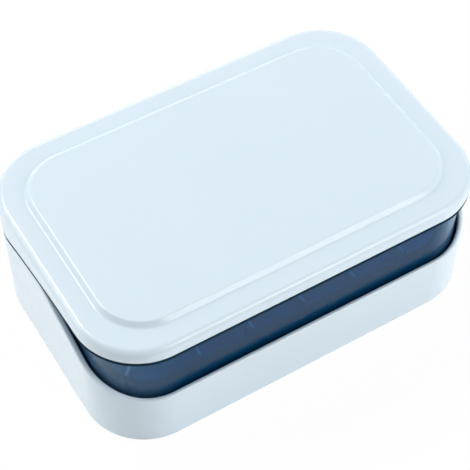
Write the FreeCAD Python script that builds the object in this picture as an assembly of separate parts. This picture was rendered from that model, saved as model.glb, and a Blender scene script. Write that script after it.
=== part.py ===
"""Travel soap box: base shell, liner tray, drain rack, lid and lid seal, in millimetres.

The box stands on the level plane at zero, centred on the upright axis. Its long side runs along X and its
open mouth looks towards -Y.
"""
import FreeCAD
import Part
import math
import os

# Whole box
box_length = 130.0
box_width = 85.0
corner_radius = 20.0
shoulder_height = 46.2

# Seam between lid and base: an arc seen from the side, level at the front
lid_front_depth = 4.55
lid_back_depth = 17.7
seam_gap = 0.25

# Base shell
base_floor = 1.8
base_side_wall = 1.75
base_end_wall = 1.45
base_cavity_radius = 18.3
base_cavity_round = 2.5
base_foot_round = 1.1
base_rim_round = 0.6
lip_height = 21.6
mouth_start = 2.0
mouth_end = 44.0
mouth_front_blend = 8.0
mouth_back_blend = 20.0
bearer_height = 2.0
bearer_width = 2.4
bearer_length = 56.0
bearer_pitch = 35.0
bearer_count = 3

# Liner tray
tray_side_gap = 0.8
tray_end_gap = 0.8
tray_radius = 17.5
tray_wall = 1.9
tray_floor = 1.6
tray_foot_round = 3.0
tray_cavity_round = 2.0
tray_rim_round = 0.5
flange_thickness = 1.0
flange_setback = 0.05
flange_round = 0.2

# Fins inside the tray, which centre the rack and carry it
fin_thickness = 0.8
fin_guide = 4.2
fin_shelf = 3.0
fin_top = 29.5
fin_pitch = 17.5
fins_per_long_side = 5
fins_per_short_side = 3

# Drain rack
rack_thickness = 1.8
rack_gap = 0.4
rack_edge_round = 0.5
rack_margin = 8.0
slot_width = 4.0
slot_pitch = 8.5
slot_bridge = 6.0
slot_end_margin = 3.5
rail_height = 1.5
rail_width = 1.6
rail_round = 0.6
finger_hole_radius = 7.5
finger_hole_margin = 4.5

# Lid
lid_wall = 1.8
lid_top = 1.6
lid_edge_round = 2.0
lid_seam_round = 0.4
panel_inset = 7.5
panel_radius = 15.5
panel_rise = 1.3
panel_bevel = 1.4
panel_round = 0.8
skirt_gap = 0.4
skirt_wall = 1.2
skirt_depth = 3.4

# Lid seal
seal_height = 1.2
seal_gap = 0.15

# Working allowances
overrun = 5.0
touch = 0.01
middle_share = 0.5
upright_share = 0.9


class Outline:
    """Rectangle with round corners, centred on the upright axis."""

    def __init__(self, length, width, radius):
        self.length = length
        self.width = width
        self.radius = radius

    def inset(self, distance):
        """The outline a distance further in, with the same corner centres."""
        return Outline(self.length - 2 * distance, self.width - 2 * distance, self.radius - distance)

    def corner_centre(self, turn):
        """Centre of the corner arc in quarter turn 0 to 3, counted from the +X +Y corner."""
        side_x = (1, -1, -1, 1)[turn]
        side_y = (1, 1, -1, -1)[turn]
        return FreeCAD.Vector(
            side_x * (self.length / 2 - self.radius), side_y * (self.width / 2 - self.radius), 0
        )

    def corner_point(self, turn, share):
        """Point on a corner arc, at a share of its quarter turn."""
        angle = math.radians(90) * (turn + share)
        spoke = FreeCAD.Vector(math.cos(angle), math.sin(angle), 0)
        return self.corner_centre(turn) + spoke * self.radius

    def wire(self, level):
        """Closed wire of the outline at a level."""
        edges = []
        for turn in range(4):
            start = self.corner_point(turn, 0)
            end = self.corner_point(turn, 1)
            following = self.corner_point((turn + 1) % 4, 0)
            edges.append(Part.Arc(start, self.corner_point(turn, middle_share), end).toShape())
            edges.append(Part.LineSegment(end, following).toShape())
        wire = Part.Wire(edges)
        wire.translate(FreeCAD.Vector(0, 0, level))
        return wire

    def prism(self, low, high):
        """Upright solid on the outline between two levels."""
        return Part.Face(self.wire(low)).extrude(FreeCAD.Vector(0, 0, high - low))

    def depth(self, point):
        """How far a point lies inside the outline, seen from above."""
        past_x = abs(point.x) - self.length / 2 + self.radius
        past_y = abs(point.y) - self.width / 2 + self.radius
        if past_x > 0 and past_y > 0:
            return self.radius - math.hypot(past_x, past_y)
        return self.radius - max(past_x, past_y)

    def carries(self, edge):
        """True for a level or sloping edge that runs on the outline."""
        first, last = edge.ParameterRange
        ends = [edge.valueAt(first), edge.valueAt((first + last) / 2), edge.valueAt(last)]
        upright = abs(edge.tangentAt((first + last) / 2).z) > upright_share
        return not upright and all(abs(self.depth(point)) < touch for point in ends)


# Outlines of the pieces, each from the one that it fits
box = Outline(box_length, box_width, corner_radius)
base_cavity = Outline(box_length - 2 * base_side_wall, box_width - 2 * base_end_wall, base_cavity_radius)
tray = Outline(base_cavity.length - 2 * tray_side_gap, base_cavity.width - 2 * tray_end_gap, tray_radius)
tray_cavity = tray.inset(tray_wall)
flange = box.inset(flange_setback)
rack = tray_cavity.inset(fin_guide + rack_gap)
lid_cavity = box.inset(lid_wall)
skirt = tray_cavity.inset(skirt_gap)

# Levels of the pieces, from the ground up
seam_front_height = shoulder_height - lid_front_depth
seam_back_height = shoulder_height - lid_back_depth
tray_bottom = base_floor + bearer_height
tray_bed = tray_bottom + tray_floor
rack_bottom = lip_height - rack_thickness
lid_ceiling = shoulder_height - lid_top
tray_rim = lid_ceiling - seal_height

# The seam arc: tangent to level at the front face and falling to the back
front = -box_width / 2
seam_drop = seam_front_height - seam_back_height
seam_radius = (box_width**2 + seam_drop**2) / (2 * seam_drop)
flange_top_radius = seam_radius - seam_gap
flange_bottom_radius = flange_top_radius - flange_thickness
base_seam_radius = flange_bottom_radius - seam_gap


def drum(radius):
    """Large level cylinder along X whose upper side is the seam, or a surface parallel to it."""
    start = FreeCAD.Vector(-box_length / 2 - overrun, front, seam_front_height - seam_radius)
    return Part.makeCylinder(radius, box_length + 2 * overrun, start, FreeCAD.Vector(1, 0, 0))


def seam_level(radius, y):
    """Height of a drum's upper side at a place across the box."""
    return seam_front_height - seam_radius + math.sqrt(radius**2 - (y - front) ** 2)


def edges_on(shape, outline, low, high):
    """Level and sloping edges of a shape that run on an outline between two heights."""
    found = []
    for edge in shape.Edges:
        middle = edge.CenterOfMass.z
        if low - touch < middle < high + touch and outline.carries(edge):
            found.append(edge)
    return found


def upright_plate(points, thickness):
    """Plate through points (inward, height) of a profile, centred on the plane of X and Z."""
    corners = [FreeCAD.Vector(u, -thickness / 2, w) for u, w in points]
    face = Part.Face(Part.makePolygon(corners + corners[:1]))
    return face.extrude(FreeCAD.Vector(0, thickness, 0))


def round_corner(before, corner, after, radius):
    """Ends and middle of the arc that rounds the corner between two straight runs."""
    to_before = (before - corner).normalize()
    to_after = (after - corner).normalize()
    half_angle = to_before.getAngle(to_after) / 2
    reach = radius / math.tan(half_angle)
    bisector = (to_before + to_after).normalize()
    middle = corner + bisector * (radius / math.sin(half_angle) - radius)
    return corner + to_before * reach, middle, corner + to_after * reach


def mouth_cutter():
    """Solid that opens the base's front: a level lip, a round blend and a long ramp up both sides."""
    side = -box_length / 2 - overrun
    outside = FreeCAD.Vector(side, front - overrun, lip_height)
    lip_end = FreeCAD.Vector(side, front + mouth_start, lip_height)
    ramp_end = FreeCAD.Vector(side, front + mouth_end, seam_level(base_seam_radius, front + mouth_end))
    above_end = FreeCAD.Vector(side, ramp_end.y, shoulder_height)
    above_outside = FreeCAD.Vector(side, outside.y, shoulder_height)
    start, middle, end = round_corner(outside, lip_end, ramp_end, mouth_front_blend)
    edges = [
        Part.LineSegment(outside, start).toShape(),
        Part.Arc(start, middle, end).toShape(),
        Part.LineSegment(end, ramp_end).toShape(),
        Part.LineSegment(ramp_end, above_end).toShape(),
        Part.LineSegment(above_end, above_outside).toShape(),
        Part.LineSegment(above_outside, outside).toShape(),
    ]
    return Part.Face(Part.Wire(edges)).extrude(FreeCAD.Vector(box_length + 2 * overrun, 0, 0))


def make_base():
    """Outer shell with a low front lip, ramped sides and bearers for the tray on its floor."""
    shell = box.prism(0, shoulder_height)
    shell = shell.makeFillet(base_foot_round, edges_on(shell, box, 0, 0))
    hollow = base_cavity.prism(base_floor, shoulder_height + overrun)
    hollow = hollow.makeFillet(base_cavity_round, edges_on(hollow, base_cavity, base_floor, base_floor))
    shell = shell.cut(hollow).common(drum(base_seam_radius)).cut(mouth_cutter())
    ramp_top = seam_level(base_seam_radius, front + mouth_end)
    crests = []
    for edge in shell.Edges:
        middle = edge.CenterOfMass
        if abs(middle.z - ramp_top) < touch and abs(middle.y - front - mouth_end) < touch:
            crests.append(edge)
    shell = shell.makeFillet(mouth_back_blend, crests)
    rim_edges = edges_on(shell, box, lip_height, shoulder_height)
    rim_edges += edges_on(shell, base_cavity, lip_height, shoulder_height)
    shell = shell.makeFillet(base_rim_round, rim_edges)
    for index in range(bearer_count):
        x = (index - (bearer_count - 1) / 2) * bearer_pitch
        corner = FreeCAD.Vector(x - bearer_width / 2, -bearer_length / 2, base_floor / 2)
        shell = shell.fuse(Part.makeBox(bearer_width, bearer_length, tray_bottom - base_floor / 2, corner))
    return shell.removeSplitter()


def fin():
    """One fin that runs inward along +X: tall beside the wall, then a lower shelf for the rack."""
    bite = -tray_wall / 2
    foot = tray_bottom + tray_floor / 2
    inner = fin_guide + fin_shelf
    points = [
        (bite, foot),
        (inner, foot),
        (inner, rack_bottom),
        (fin_guide, rack_bottom),
        (fin_guide, fin_top),
        (bite, fin_top),
    ]
    return upright_plate(points, fin_thickness)


def place_fin(wall_point, heading):
    """A fin that starts at a point of the cavity wall and runs inward at a heading in degrees."""
    solid = fin()
    solid.rotate(FreeCAD.Vector(0, 0, 0), FreeCAD.Vector(0, 0, 1), heading)
    solid.translate(wall_point)
    return solid


def fins():
    """Fins along all four walls and in the four corners of the tray."""
    solids = []
    for index in range(fins_per_long_side):
        x = (index - (fins_per_long_side - 1) / 2) * fin_pitch
        solids.append(place_fin(FreeCAD.Vector(x, -tray_cavity.width / 2, 0), 90))
        solids.append(place_fin(FreeCAD.Vector(x, tray_cavity.width / 2, 0), -90))
    for index in range(fins_per_short_side):
        y = (index - (fins_per_short_side - 1) / 2) * fin_pitch
        solids.append(place_fin(FreeCAD.Vector(-tray_cavity.length / 2, y, 0), 0))
        solids.append(place_fin(FreeCAD.Vector(tray_cavity.length / 2, y, 0), 180))
    for turn in range(4):
        solids.append(place_fin(tray_cavity.corner_point(turn, middle_share), 90 * turn + 45 + 180))
    return solids


def make_tray():
    """Liner with a level rim, a flange that follows the seam, and the fins inside."""
    body = tray.prism(tray_bottom, tray_rim)
    body = body.makeFillet(tray_foot_round, edges_on(body, tray, tray_bottom, tray_bottom))
    hollow = tray_cavity.prism(tray_bed, tray_rim + overrun)
    hollow = hollow.makeFillet(tray_cavity_round, edges_on(hollow, tray_cavity, tray_bed, tray_bed))
    collar = flange.prism(seam_back_height - overrun, shoulder_height)
    collar = collar.common(drum(flange_top_radius)).cut(drum(flange_bottom_radius))
    collar = collar.makeFillet(flange_round, edges_on(collar, flange, 0, shoulder_height))
    body = body.fuse(collar).cut(hollow)
    rim_edges = edges_on(body, tray, tray_rim, tray_rim) + edges_on(body, tray_cavity, tray_rim, tray_rim)
    body = body.makeFillet(tray_rim_round, rim_edges)
    return body.fuse(fins()).removeSplitter()


def slot(x, low_y, high_y):
    """Cutting solid for one slot of the rack, with round ends."""
    half = slot_width / 2
    low = rack_bottom - overrun
    height = rack_thickness + rail_height + 2 * overrun
    corner = FreeCAD.Vector(x - half, low_y + half, low)
    solid = Part.makeBox(slot_width, high_y - low_y - slot_width, height, corner)
    for y in (low_y + half, high_y - half):
        solid = solid.fuse(Part.makeCylinder(half, height, FreeCAD.Vector(x, y, low)))
    return solid.removeSplitter()


def rail(x, length):
    """Raised rail across the rack, round on top, which carries the soap."""
    corner = FreeCAD.Vector(x - rail_width / 2, -length / 2, rack_bottom + rack_thickness / 2)
    solid = Part.makeBox(rail_width, length, rack_thickness / 2 + rail_height, corner)
    top = lip_height + rail_height
    edges = [edge for edge in solid.Edges if abs(edge.CenterOfMass.z - top) < touch]
    return solid.makeFillet(rail_round, edges)


def make_rack():
    """Slotted plate with rails between the slots and a finger hole at each end."""
    plate = rack.prism(rack_bottom, lip_height)
    plate = plate.makeFillet(rack_edge_round, edges_on(plate, rack, lip_height, lip_height))
    reach = rack.width / 2 - rack_margin
    hole_end = finger_hole_margin + 2 * finger_hole_radius
    slot_room = rack.length - 2 * (hole_end + slot_end_margin)
    slot_columns = 1 + int((slot_room - slot_width) / slot_pitch)
    for index in range(slot_columns):
        x = (index - (slot_columns - 1) / 2) * slot_pitch
        plate = plate.cut(slot(x, slot_bridge / 2, reach))
        plate = plate.cut(slot(x, -reach, -slot_bridge / 2))
    for index in range(slot_columns - 1):
        x = (index - (slot_columns - 2) / 2) * slot_pitch
        plate = plate.fuse(rail(x, 2 * reach))
    for side in (-1, 1):
        x = side * (rack.length / 2 - finger_hole_margin - finger_hole_radius)
        start = FreeCAD.Vector(x, 0, rack_bottom - overrun)
        plate = plate.cut(Part.makeCylinder(finger_hole_radius, rack_thickness + 2 * overrun, start))
    return plate.removeSplitter()


def panel(foot, level, rise):
    """Raised panel with a sloping bevel, as a solid that stands on a level."""
    crown = foot.inset(panel_bevel)
    return Part.makeLoft([foot.wire(level), crown.wire(level + rise)], True, True)


def make_lid():
    """Cover with a raised panel, a curved lower edge and a skirt that guides it into the tray."""
    shell = box.prism(seam_back_height - overrun, shoulder_height)
    shell = shell.makeFillet(lid_edge_round, edges_on(shell, box, shoulder_height, shoulder_height))
    foot = Outline(box_length - 2 * panel_inset, box_width - 2 * panel_inset, panel_radius)
    shell = shell.fuse(panel(foot, shoulder_height, panel_rise))
    crown = foot.inset(panel_bevel)
    crown_height = shoulder_height + panel_rise
    panel_edges = edges_on(shell, foot, shoulder_height, shoulder_height)
    panel_edges += edges_on(shell, crown, crown_height, crown_height)
    shell = shell.makeFillet(panel_round, panel_edges)
    hollow = lid_cavity.prism(seam_back_height - 2 * overrun, lid_ceiling)
    guide = skirt.prism(lid_ceiling - skirt_depth, lid_ceiling)
    room = skirt.inset(skirt_wall).prism(lid_ceiling - skirt_depth - overrun, lid_ceiling + overrun)
    relief = panel(foot.inset(lid_top), lid_ceiling, panel_rise)
    shell = shell.cut(hollow).cut(drum(seam_radius))
    shell = shell.makeFillet(lid_seam_round, edges_on(shell, box, 0, seam_front_height))
    return shell.fuse(guide.cut(room)).cut(relief).removeSplitter()


def make_seal():
    """Soft ring under the lid that lies on the tray's rim."""
    ring = lid_cavity.inset(seal_gap).prism(tray_rim, lid_ceiling)
    return ring.cut(tray_cavity.inset(skirt_gap - seal_gap).prism(tray_rim - overrun, lid_ceiling + overrun))


os.makedirs("parts", exist_ok=True)
pieces = {
    "base": make_base(),
    "tray": make_tray(),
    "drain_rack": make_rack(),
    "lid": make_lid(),
    "lid_seal": make_seal(),
}
for name, shape in pieces.items():
    shape.exportStep("parts/" + name + ".step")
    print(name, shape.isValid(), len(shape.Solids), round(shape.Volume, 1))
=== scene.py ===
"""Looks of a travel soap box: pale blue shell, see-through navy liner tray, drain rack and lid seal."""

import logging
import math
from dataclasses import dataclass, field
from enum import Enum
from typing import Optional, Union

import bpy
from mathutils import Matrix, Vector

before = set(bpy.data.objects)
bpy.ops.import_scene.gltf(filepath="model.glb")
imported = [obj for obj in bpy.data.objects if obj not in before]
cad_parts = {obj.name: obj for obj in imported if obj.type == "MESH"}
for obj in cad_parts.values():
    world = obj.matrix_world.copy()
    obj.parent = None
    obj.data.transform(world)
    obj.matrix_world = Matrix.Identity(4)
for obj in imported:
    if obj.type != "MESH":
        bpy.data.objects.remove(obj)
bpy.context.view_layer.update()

LOG = logging.getLogger("travel_soap_box")

Colour = tuple[float, float, float]
Settings = dict[str, object]
Inputs = dict[Union[str, int], object]

WHITE: Colour = (1.0, 1.0, 1.0)
DARK: Colour = (0.0, 0.0, 0.0)
NOISE_MIDDLE = 0.5

# Sockets of Blender's colour mix, which shares its numbers with the mixes of other kinds.
MIX_SHARE = 0
MIX_FIRST = 6
MIX_SECOND = 7
MIX_RESULT = 2


class Axis(Enum):
    """Directions of the box: along its length, from the open front to the back, and up."""

    LENGTH = 0
    DEPTH = 1
    UP = 2


class NoiseDetail(Enum):
    """How many finer layers lie on top of a noise."""

    SMOOTH = 0.0
    SOFT = 1.0
    FINE = 2.0
    RICH = 3.0


class Piece(Enum):
    """CAD pieces of the box."""

    BASE = "base"
    TRAY = "tray"
    RACK = "drain_rack"
    LID = "lid"
    SEAL = "lid_seal"


def opaque(colour: Colour) -> tuple[float, float, float, float]:
    """The colour with full cover, as a socket takes it."""
    return (*colour, 1.0)


class Value:
    """A shader socket that takes part in Python arithmetic, each operator adding one Math node."""

    def __init__(self, graph: "ShaderGraph", socket: bpy.types.NodeSocket) -> None:
        """Keeps the socket and the graph that it belongs to."""
        self.graph = graph
        self.socket = socket

    def __add__(self, other: "Term") -> "Value":
        """Sum of two values."""
        return self.graph.math("ADD", self, other)

    def __radd__(self, other: "Term") -> "Value":
        """Sum with a number on the left."""
        return self.graph.math("ADD", other, self)

    def __sub__(self, other: "Term") -> "Value":
        """Difference of two values."""
        return self.graph.math("SUBTRACT", self, other)

    def __rsub__(self, other: "Term") -> "Value":
        """Difference with a number on the left."""
        return self.graph.math("SUBTRACT", other, self)

    def __mul__(self, other: "Term") -> "Value":
        """Product of two values."""
        return self.graph.math("MULTIPLY", self, other)

    def __rmul__(self, other: "Term") -> "Value":
        """Product with a number on the left."""
        return self.graph.math("MULTIPLY", other, self)

    def __abs__(self) -> "Value":
        """Size without the sign."""
        return self.graph.math("ABSOLUTE", self)


Term = Union[Value, float]


class ShaderGraph:
    """The node tree of one material or world, empty when it is taken over."""

    def __init__(self, tree: bpy.types.NodeTree) -> None:
        """Takes over a node tree and clears it."""
        self.tree = tree
        tree.nodes.clear()

    def node(
        self,
        kind: str,
        settings: Optional[Settings] = None,
        inputs: Optional[Inputs] = None,
    ) -> bpy.types.Node:
        """Adds one node.

        Args:
            kind: Blender's name of the node's type.
            settings: Properties of the node, set first.
            inputs: Values, or Value links, of its input sockets by name or number.

        Returns:
            The new node.
        """
        made = self.tree.nodes.new(kind)
        for name, setting in (settings or {}).items():
            setattr(made, name, setting)
        for key, given in (inputs or {}).items():
            if isinstance(given, Value):
                self.tree.links.new(given.socket, made.inputs[key])
            else:
                made.inputs[key].default_value = given
        return made

    def value(
        self,
        kind: str,
        output: Union[str, int],
        settings: Optional[Settings] = None,
        inputs: Optional[Inputs] = None,
    ) -> Value:
        """Adds one node and takes one of its outputs.

        Args:
            kind: Blender's name of the node's type.
            output: Name or number of the output socket.
            settings: Properties of the node.
            inputs: Values or links of its input sockets.

        Returns:
            The output, ready for arithmetic.
        """
        return Value(self, self.node(kind, settings, inputs).outputs[output])

    def math(self, operation: str, *terms: Term) -> Value:
        """Adds one Math node.

        Args:
            operation: Name of the Math node's operation.
            terms: One or two values or numbers.

        Returns:
            The result.
        """
        return self.value("ShaderNodeMath", 0, {"operation": operation}, dict(enumerate(terms)))

    def mix_colour(self, share: Term, first: Union[Value, Colour], second: Colour) -> Value:
        """Blends two colours.

        Args:
            share: How much of the second colour, from 0 to 1.
            first: Colour where the share is 0, which may be a blend itself.
            second: Colour where the share is 1.

        Returns:
            The blended colour.
        """
        start = first if isinstance(first, Value) else opaque(first)
        inputs = {MIX_SHARE: share, MIX_FIRST: start, MIX_SECOND: opaque(second)}
        return self.value("ShaderNodeMix", MIX_RESULT, {"data_type": "RGBA"}, inputs)

    def noise(self, size: float, detail: NoiseDetail) -> Value:
        """Smooth noise fixed to the piece.

        Args:
            size: Width of its blotches in metres.
            detail: How many finer layers lie on top.

        Returns:
            The noise, from 0 to 1 with a mean near its middle.
        """
        place = self.value("ShaderNodeTexCoord", "Object")
        inputs = {"Vector": place, "Scale": 1.0 / size, "Detail": detail.value}
        return self.value("ShaderNodeTexNoise", "Fac", None, inputs)

    def share(self, given: Value, low: float, high: float) -> Value:
        """Share of the way between two levels.

        Args:
            given: The value to look at.
            low: Level where the share is 0.
            high: Level where the share is 1.

        Returns:
            The share, held between 0 and 1.
        """
        inputs = {"Value": given, "From Min": low, "From Max": high}
        return self.value("ShaderNodeMapRange", "Result", None, inputs)

    def place(self, axis: Axis) -> Value:
        """Place along one direction of the box, in metres from its origin."""
        where = self.value("ShaderNodeTexCoord", "Object")
        return self.value("ShaderNodeSeparateXYZ", axis.value, None, {"Vector": where})

    def outline_distance(self, half_length: float, half_width: float, radius: float) -> Value:
        """Level distance outside a rectangle with round corners, centred on the piece.

        Args:
            half_length: Half the rectangle's size along the box's length, in metres.
            half_width: Half the rectangle's size from front to back, in metres.
            radius: Radius of its corners, in metres.

        Returns:
            The distance, 0 on the outline and growing outwards.
        """
        past_x = self.math("MAXIMUM", abs(self.place(Axis.LENGTH)) - (half_length - radius), 0.0)
        past_y = self.math("MAXIMUM", abs(self.place(Axis.DEPTH)) - (half_width - radius), 0.0)
        return self.math("SQRT", past_x * past_x + past_y * past_y) - radius

    def bump(self, height: Value, depth: float, strength: float) -> Value:
        """Surface normal of a fine relief.

        Args:
            height: Height of the relief, from 0 to 1.
            depth: Height in metres that 1 stands for.
            strength: Share of the relief that is kept.

        Returns:
            The bumped normal.
        """
        inputs = {"Height": height, "Distance": depth, "Strength": strength}
        return self.value("ShaderNodeBump", "Normal", None, inputs)

    def surface(self, shader: bpy.types.Node) -> None:
        """Shows a shader node on the surface."""
        out = self.tree.nodes.new("ShaderNodeOutputMaterial")
        self.tree.links.new(shader.outputs[0], out.inputs["Surface"])


def new_graph(name: str) -> tuple[bpy.types.Material, ShaderGraph]:
    """Starts a material.

    Args:
        name: Name of the material.

    Returns:
        The material and its empty graph.
    """
    made = bpy.data.materials.new(name)
    made.use_nodes = True
    return made, ShaderGraph(made.node_tree)


@dataclass(frozen=True)
class SatinPlastic:
    """Opaque moulded plastic with the fine grain of a spark-eroded mould. Sizes are in metres."""

    name: str
    colour: Colour
    flow_colour: Colour
    roughness: float = 0.24
    roughness_spread: float = 0.08
    specular: float = 0.8
    grain_size: float = 0.00028
    grain_depth: float = 0.000008
    grain_strength: float = 0.5
    flow_size: float = 0.030
    haze_size: float = 0.006

    def material(self) -> bpy.types.Material:
        """Makes the finish.

        Returns:
            The material.
        """
        made, graph = new_graph(self.name)
        flow = graph.noise(self.flow_size, NoiseDetail.SOFT)
        haze = graph.noise(self.haze_size, NoiseDetail.RICH)
        grain = graph.noise(self.grain_size, NoiseDetail.FINE)
        inputs = {
            "Base Color": graph.mix_colour(flow, self.colour, self.flow_colour),
            "Roughness": self.roughness + (haze - NOISE_MIDDLE) * self.roughness_spread,
            "Normal": graph.bump(grain, self.grain_depth, self.grain_strength),
            "Specular IOR Level": self.specular,
        }
        graph.surface(graph.node("ShaderNodeBsdfPrincipled", None, inputs))
        return made


@dataclass(frozen=True)
class ClearPlastic:
    """Glossy see-through moulded plastic, dyed through, with a painted sheen that makes it paler towards
    both ends.

    Outside an outline lies the dark seam edge: the tray's own navy, darkened and dulled as painted shade
    of the seam under the lid. Inside it the tops of the fins glow with a painted highlight, though no
    lamp is there. Sizes are in metres.
    """

    name: str
    colour: Colour
    flow_colour: Colour
    half_length: float
    half_width: float
    corner_radius: float
    fin_top: float
    fin_depth: float = 0.0021
    fin_band: float = 0.0002
    fin_core: float = 0.0001
    # Painted highlight: pale blue glow that the fin tops give off through emission.
    painted_fin_highlight_colour: Colour = (0.30, 0.42, 0.38)
    painted_fin_highlight_strength: float = 1.0
    # Painted sheen: the paler colour that the tray turns to towards both ends.
    painted_end_sheen_colour: Colour = (0.15, 0.35, 0.57)
    painted_end_sheen_start: float = 0.043
    painted_end_sheen_full: float = 0.058
    # Painted shade: dark, dull navy outside the outline, where the seam under the lid lies in shade.
    painted_seam_shade_start: float = 0.0003
    painted_seam_shade_full: float = 0.0008
    painted_seam_shade_colour: Colour = (0.005, 0.026, 0.046)
    painted_seam_shade_roughness: float = 0.8
    painted_seam_shade_specular: float = 0.05
    clearness: float = 0.8
    roughness: float = 0.012
    roughness_spread: float = 0.012
    refraction: float = 1.23
    specular: float = 0.2
    flow_size: float = 0.040
    film_size: float = 0.008
    ripple_size: float = 0.012
    ripple_depth: float = 0.00002
    ripple_strength: float = 1.0

    def material(self) -> bpy.types.Material:
        """Makes the finish.

        Returns:
            The material.
        """
        made, graph = new_graph(self.name)
        flow = graph.noise(self.flow_size, NoiseDetail.SOFT)
        film = graph.noise(self.film_size, NoiseDetail.RICH)
        ripple = graph.noise(self.ripple_size, NoiseDetail.SMOOTH)
        outside = graph.outline_distance(self.half_length, self.half_width, self.corner_radius)
        # Painted shade: share of the dark seam edge outside the outline.
        painted_seam_shade_share = graph.share(outside, self.painted_seam_shade_start, self.painted_seam_shade_full)
        off_top = abs(graph.place(Axis.UP) - self.fin_top)
        # Painted highlight: share at the fin tops, which glow though no lamp is there.
        painted_fin_highlight_share = graph.share(outside, -self.fin_depth, -self.fin_depth - self.fin_band)
        painted_fin_highlight_share = painted_fin_highlight_share * graph.share(off_top, self.fin_band, self.fin_core)
        # Painted sheen: share towards both ends, where the colour is blended paler.
        painted_end_sheen_share = graph.share(abs(graph.place(Axis.LENGTH)), self.painted_end_sheen_start, self.painted_end_sheen_full)
        dye = graph.mix_colour(flow, self.colour, self.flow_colour)
        inputs = {
            "Base Color": graph.mix_colour(painted_end_sheen_share, dye, self.painted_end_sheen_colour),
            "Roughness": self.roughness + (film - NOISE_MIDDLE) * self.roughness_spread,
            "Normal": graph.bump(ripple, self.ripple_depth, self.ripple_strength),
            "Transmission Weight": self.clearness,
            "IOR": self.refraction,
            "Specular IOR Level": self.specular,
            "Emission Color": graph.mix_colour(painted_fin_highlight_share, DARK, self.painted_fin_highlight_colour),
            "Emission Strength": self.painted_fin_highlight_strength,
        }
        wall = graph.value("ShaderNodeBsdfPrincipled", 0, None, inputs)
        # Painted shade of the seam: the tray's navy darkened, with little gloss.
        dull = {
            "Base Color": opaque(self.painted_seam_shade_colour),
            "Roughness": self.painted_seam_shade_roughness,
            "Specular IOR Level": self.painted_seam_shade_specular,
        }
        edge = graph.value("ShaderNodeBsdfPrincipled", 0, None, dull)
        graph.surface(graph.node("ShaderNodeMixShader", None, {0: painted_seam_shade_share, 1: wall, 2: edge}))
        return made


@dataclass(frozen=True)
class Silicone:
    """Soft rubber with a dull skin and a trace of dust. Sizes are in metres."""

    name: str
    colour: Colour
    dust_colour: Colour
    roughness: float = 0.62
    roughness_spread: float = 0.16
    dust_size: float = 0.0009
    skin_size: float = 0.0004
    skin_depth: float = 0.00001
    skin_strength: float = 0.6

    def material(self) -> bpy.types.Material:
        """Makes the finish.

        Returns:
            The material.
        """
        made, graph = new_graph(self.name)
        dust = graph.noise(self.dust_size, NoiseDetail.RICH)
        skin = graph.noise(self.skin_size, NoiseDetail.FINE)
        inputs = {
            "Base Color": graph.mix_colour(dust, self.colour, self.dust_colour),
            "Roughness": self.roughness + (dust - NOISE_MIDDLE) * self.roughness_spread,
            "Normal": graph.bump(skin, self.skin_depth, self.skin_strength),
        }
        graph.surface(graph.node("ShaderNodeBsdfPrincipled", None, inputs))
        return made


def dress(piece: Piece, material: bpy.types.Material) -> None:
    """Gives a CAD piece its finish.

    Args:
        piece: The piece.
        material: The finish.
    """
    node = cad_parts[piece.value]
    for place in node.material_slots:
        place.material = material
    LOG.info("%s wears %s", piece.value, material.name)


@dataclass
class OuterShell:
    """The pale blue base and lid, moulded from the same plastic."""

    finish: SatinPlastic = field(
        default_factory=lambda: SatinPlastic(
            name="pale_blue_shell",
            colour=(0.605, 0.715, 0.795),
            flow_colour=(0.625, 0.735, 0.81),
        )
    )

    def build(self) -> None:
        """Dresses the base and the lid."""
        material = self.finish.material()
        dress(Piece.BASE, material)
        dress(Piece.LID, material)


@dataclass
class LinerTray:
    """The see-through navy tray that stands in the base."""

    finish: ClearPlastic = field(
        default_factory=lambda: ClearPlastic(
            name="clear_navy",
            colour=(0.004, 0.145, 0.35),
            flow_colour=(0.005, 0.153, 0.365),
            half_length=0.06245,
            half_width=0.04025,
            corner_radius=0.0175,
            fin_top=0.0295,
        )
    )

    def build(self) -> None:
        """Dresses the tray."""
        dress(Piece.TRAY, self.finish.material())


@dataclass
class DrainRack:
    """The slotted pale rack that keeps the soap out of the water."""

    finish: SatinPlastic = field(
        default_factory=lambda: SatinPlastic(
            name="pale_rack",
            colour=(0.60, 0.72, 0.82),
            flow_colour=(0.62, 0.74, 0.83),
        )
    )

    def build(self) -> None:
        """Dresses the rack."""
        dress(Piece.RACK, self.finish.material())


@dataclass
class LidSeal:
    """The soft ring between the lid and the tray's rim."""

    finish: Silicone = field(
        default_factory=lambda: Silicone(
            name="grey_silicone",
            colour=(0.52, 0.59, 0.64),
            dust_colour=(0.58, 0.64, 0.68),
        )
    )

    def build(self) -> None:
        """Dresses the ring."""
        dress(Piece.SEAL, self.finish.material())


@dataclass(frozen=True)
class Softbox:
    """A square studio lamp that looks at the box, placed by its compass angle and its height angle.

    Angles are in degrees, sizes in metres and powers in watts. A lamp that isn't mirrored lights the box
    without a highlight, as one behind a wide diffuser does.
    """

    name: str
    compass: float
    height: float
    size: float
    power: float
    mirrored: bool = True
    distance: float = 1.0

    def build(self) -> None:
        """Hangs the lamp."""
        lamp = bpy.data.lights.new(self.name, "AREA")
        lamp.shape = "SQUARE"
        lamp.size = self.size
        lamp.energy = self.power
        piece = bpy.data.objects.new(self.name, lamp)
        compass = math.radians(self.compass)
        height = math.radians(self.height)
        level = math.cos(height)
        towards = Vector((math.cos(compass) * level, math.sin(compass) * level, math.sin(height)))
        piece.location = towards * self.distance
        piece.rotation_euler = towards.to_track_quat("Z", "Y").to_euler()
        piece.visible_glossy = self.mirrored
        bpy.context.scene.collection.objects.link(piece)


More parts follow.
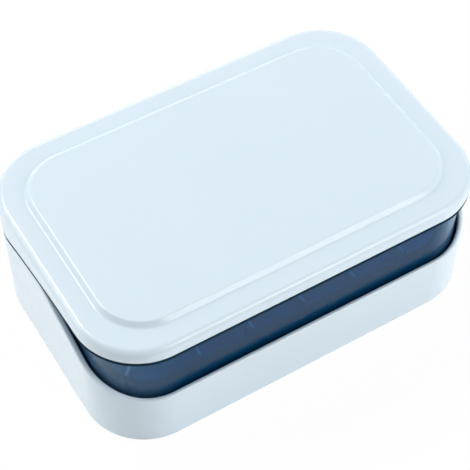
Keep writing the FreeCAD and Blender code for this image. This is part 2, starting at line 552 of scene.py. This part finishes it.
@dataclass
class Studio:
    """White floor, even surrounding light and soft lamps. Sizes are in metres."""

    floor_half_width: float = 6.0
    floor_drop: float = 0.0001
    floor_white: Colour = (0.95, 0.95, 0.95)
    floor_glow: float = 1.0
    floor_glow_share: float = 0.96
    room_light: float = 0.15
    room_colour: Colour = (0.95, 0.98, 1.0)
    softboxes: tuple[Softbox, ...] = (
        Softbox("left_low_softbox", compass=139.0, height=15.0, size=1.2, power=9.8, mirrored=False),
        Softbox("left_sheen_softbox", compass=146.0, height=32.0, size=0.3, power=0.8),
        Softbox("left_high_softbox", compass=112.0, height=55.0, size=0.3, power=2.8),
        Softbox("back_softbox", compass=58.0, height=52.0, size=0.9, power=1.2),
        Softbox("back_low_softbox", compass=78.0, height=16.0, size=0.7, power=1.7),
        Softbox("right_back_softbox", compass=33.0, height=20.0, size=0.6, power=0.9),
        Softbox("right_low_softbox", compass=318.0, height=15.0, size=0.8, power=7.3, mirrored=False),
        Softbox("right_softbox", compass=296.0, height=43.0, size=0.5, power=2.9),
    )

    @staticmethod
    def seen_share(graph: ShaderGraph) -> Value:
        """Tells the rays that show the background from those that light the box.

        Args:
            graph: The graph of the floor or the room.

        Returns:
            1 for what is seen straight, in a reflection or through clear plastic, otherwise 0.
        """
        path = graph.node("ShaderNodeLightPath")
        straight, mirrored, through = (
            Value(graph, path.outputs[name])
            for name in ("Is Camera Ray", "Is Glossy Ray", "Is Transmission Ray")
        )
        return graph.math("MAXIMUM", graph.math("MAXIMUM", straight, mirrored), through)

    def floor_material(self) -> bpy.types.Material:
        """Makes the floor's white, which still takes the box's shadow.

        Returns:
            The material.
        """
        made, graph = new_graph("white_floor")
        matt = graph.value("ShaderNodeBsdfDiffuse", 0, None, {"Color": opaque(self.floor_white)})
        glow = graph.value("ShaderNodeEmission", 0, None, {"Strength": self.floor_glow})
        share = self.seen_share(graph) * self.floor_glow_share
        graph.surface(graph.node("ShaderNodeMixShader", None, {0: share, 1: matt, 2: glow}))
        return made

    def build_floor(self) -> None:
        """Lays the floor under the box."""
        half = self.floor_half_width
        mesh = bpy.data.meshes.new("floor")
        corners = [(-half, -half, 0.0), (half, -half, 0.0), (half, half, 0.0), (-half, half, 0.0)]
        mesh.from_pydata(corners, [], [(0, 1, 2, 3)])
        mesh.materials.append(self.floor_material())
        floor = bpy.data.objects.new("floor", mesh)
        floor.location.z = -self.floor_drop
        bpy.context.scene.collection.objects.link(floor)

    def build_room(self) -> None:
        """Sets the even light of the room, which shows as white."""
        world = bpy.data.worlds.new("white_room")
        bpy.context.scene.world = world
        world.use_nodes = True
        graph = ShaderGraph(world.node_tree)
        even = {"Color": opaque(self.room_colour), "Strength": self.room_light}
        light = graph.value("ShaderNodeBackground", 0, None, even)
        shown = graph.value("ShaderNodeBackground", 0, None, {"Color": opaque(WHITE)})
        share = self.seen_share(graph)
        mixed = graph.node("ShaderNodeMixShader", None, {0: share, 1: light, 2: shown})
        out = graph.node("ShaderNodeOutputWorld")
        graph.tree.links.new(mixed.outputs[0], out.inputs["Surface"])

    def build(self) -> None:
        """Sets up the floor, the room and the lamps."""
        bpy.context.scene.view_settings.view_transform = "Standard"
        self.build_floor()
        self.build_room()
        for softbox in self.softboxes:
            softbox.build()
            LOG.info("lamp %s is up", softbox.name)


@dataclass(frozen=True)
class PhotoCamera:
    """The photograph's viewpoint, fitted to the edges of the box. Lengths are in metres unless named."""

    turn: float = math.radians(-31.256)
    rise: float = math.radians(52.344)
    roll: float = math.radians(0.245)
    distance: float = 0.46148
    aim_right: float = -0.000096
    aim_up: float = 0.01107
    focal_px: float = 1441.2
    image_px: float = 470.0
    sensor_mm: float = 36.0
    nearest: float = 0.01

    def build(self) -> None:
        """Places the camera and makes it the scene's own."""
        back = Vector(
            (
                math.sin(self.turn) * math.cos(self.rise),
                -math.cos(self.turn) * math.cos(self.rise),
                math.sin(self.rise),
            )
        )
        level = Vector((math.cos(self.turn), math.sin(self.turn), 0.0))
        steep = back.cross(level)
        right = level * math.cos(self.roll) + steep * math.sin(self.roll)
        up = steep * math.cos(self.roll) - level * math.sin(self.roll)
        eye = back * self.distance + right * self.aim_right + up * self.aim_up
        lens = bpy.data.cameras.new("photo_camera")
        lens.sensor_width = self.sensor_mm
        lens.lens = self.focal_px / self.image_px * self.sensor_mm
        lens.clip_start = self.nearest
        camera = bpy.data.objects.new("photo_camera", lens)
        camera.matrix_world = Matrix((right, up, back)).transposed().to_4x4()
        camera.location = eye
        bpy.context.scene.collection.objects.link(camera)
        bpy.context.scene.camera = camera
        LOG.info("camera stands %.3f m away", self.distance)


def main() -> None:
    """Builds the camera, the studio and the pieces of the box in order."""
    logging.basicConfig(level=logging.INFO, format="%(name)s: %(message)s")
    PhotoCamera().build()
    Studio().build()
    OuterShell().build()
    LinerTray().build()
    DrainRack().build()
    LidSeal().build()


if __name__ == "__main__":
    main()
